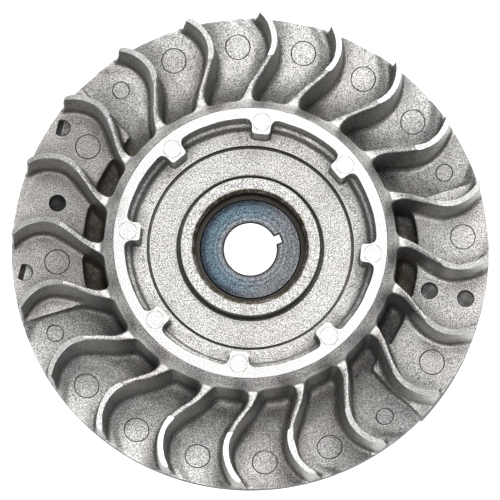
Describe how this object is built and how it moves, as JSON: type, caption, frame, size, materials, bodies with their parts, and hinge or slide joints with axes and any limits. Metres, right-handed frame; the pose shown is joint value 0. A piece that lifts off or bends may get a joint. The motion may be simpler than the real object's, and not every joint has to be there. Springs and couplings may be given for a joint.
{
  "type": "engine flywheel",
  "caption": "Die-cast engine flywheel with curved cooling fan blades, a lugged starter collar, a keyed taper-bore steel hub, and an ignition magnet in its rim.",
  "frame": {"origin": "on the rotation axis, in the plane of the rearmost faces", "axes": "+Z along the rotation axis towards the fan and starter side; +X towards the middle of the counterweight side, turned 13.4 degrees from it"},
  "size_m": [0.15, 0.15, 0.0336],
  "materials": {
    "cast_aluminium": "blasted die casting, fine grain, oil staining in the corners",
    "turned_steel": "turned, blue temper tint, fine concentric tool marks",
    "magnet": "dull sintered magnet",
    "lamination_steel": "stamped electrical steel, ground at the rim",
    "rivet_steel": "plain steel, peened heads",
    "insert_steel": "plain steel block, dull"
  },
  "bodies": {
    "root": {"web_disc": "cast_aluminium", "magnet_housing": "cast_aluminium", "counterweight_housing": "cast_aluminium", "starter_collar": "cast_aluminium", "hub_plate": "cast_aluminium", "hub_boss": "cast_aluminium", "fan_blade_01": "cast_aluminium", "fan_blade_02": "cast_aluminium", "fan_blade_03": "cast_aluminium", "fan_blade_04": "cast_aluminium", "fan_blade_05": "cast_aluminium", "fan_blade_06": "cast_aluminium", "fan_blade_07": "cast_aluminium", "fan_blade_08": "cast_aluminium", "fan_blade_09": "cast_aluminium", "fan_blade_10": "cast_aluminium", "fan_blade_11": "cast_aluminium", "fan_blade_12": "cast_aluminium", "fan_blade_13": "cast_aluminium", "fan_blade_14": "cast_aluminium", "fan_blade_15": "cast_aluminium", "fan_blade_16": "cast_aluminium", "fan_blade_17": "cast_aluminium", "fan_blade_18": "cast_aluminium", "fan_blade_19": "cast_aluminium", "fan_blade_20": "cast_aluminium", "steel_hub": "turned_steel", "magnet": "magnet", "counterweight_insert": "insert_steel", "pole_lamination_leading_1": "lamination_steel", "pole_lamination_leading_2": "lamination_steel", "pole_lamination_leading_3": "lamination_steel", "pole_lamination_leading_4": "lamination_steel", "pole_lamination_leading_5": "lamination_steel", "pole_lamination_leading_6": "lamination_steel", "pole_lamination_leading_7": "lamination_steel", "pole_lamination_leading_8": "lamination_steel", "pole_lamination_trailing_1": "lamination_steel", "pole_lamination_trailing_2": "lamination_steel", "pole_lamination_trailing_3": "lamination_steel", "pole_lamination_trailing_4": "lamination_steel", "pole_lamination_trailing_5": "lamination_steel", "pole_lamination_trailing_6": "lamination_steel", "pole_lamination_trailing_7": "lamination_steel", "pole_lamination_trailing_8": "lamination_steel", "pole_rivet_leading_1": "rivet_steel", "pole_rivet_leading_2": "rivet_steel", "pole_rivet_trailing_1": "rivet_steel", "pole_rivet_trailing_2": "rivet_steel"}
  },
  "joints": []
}
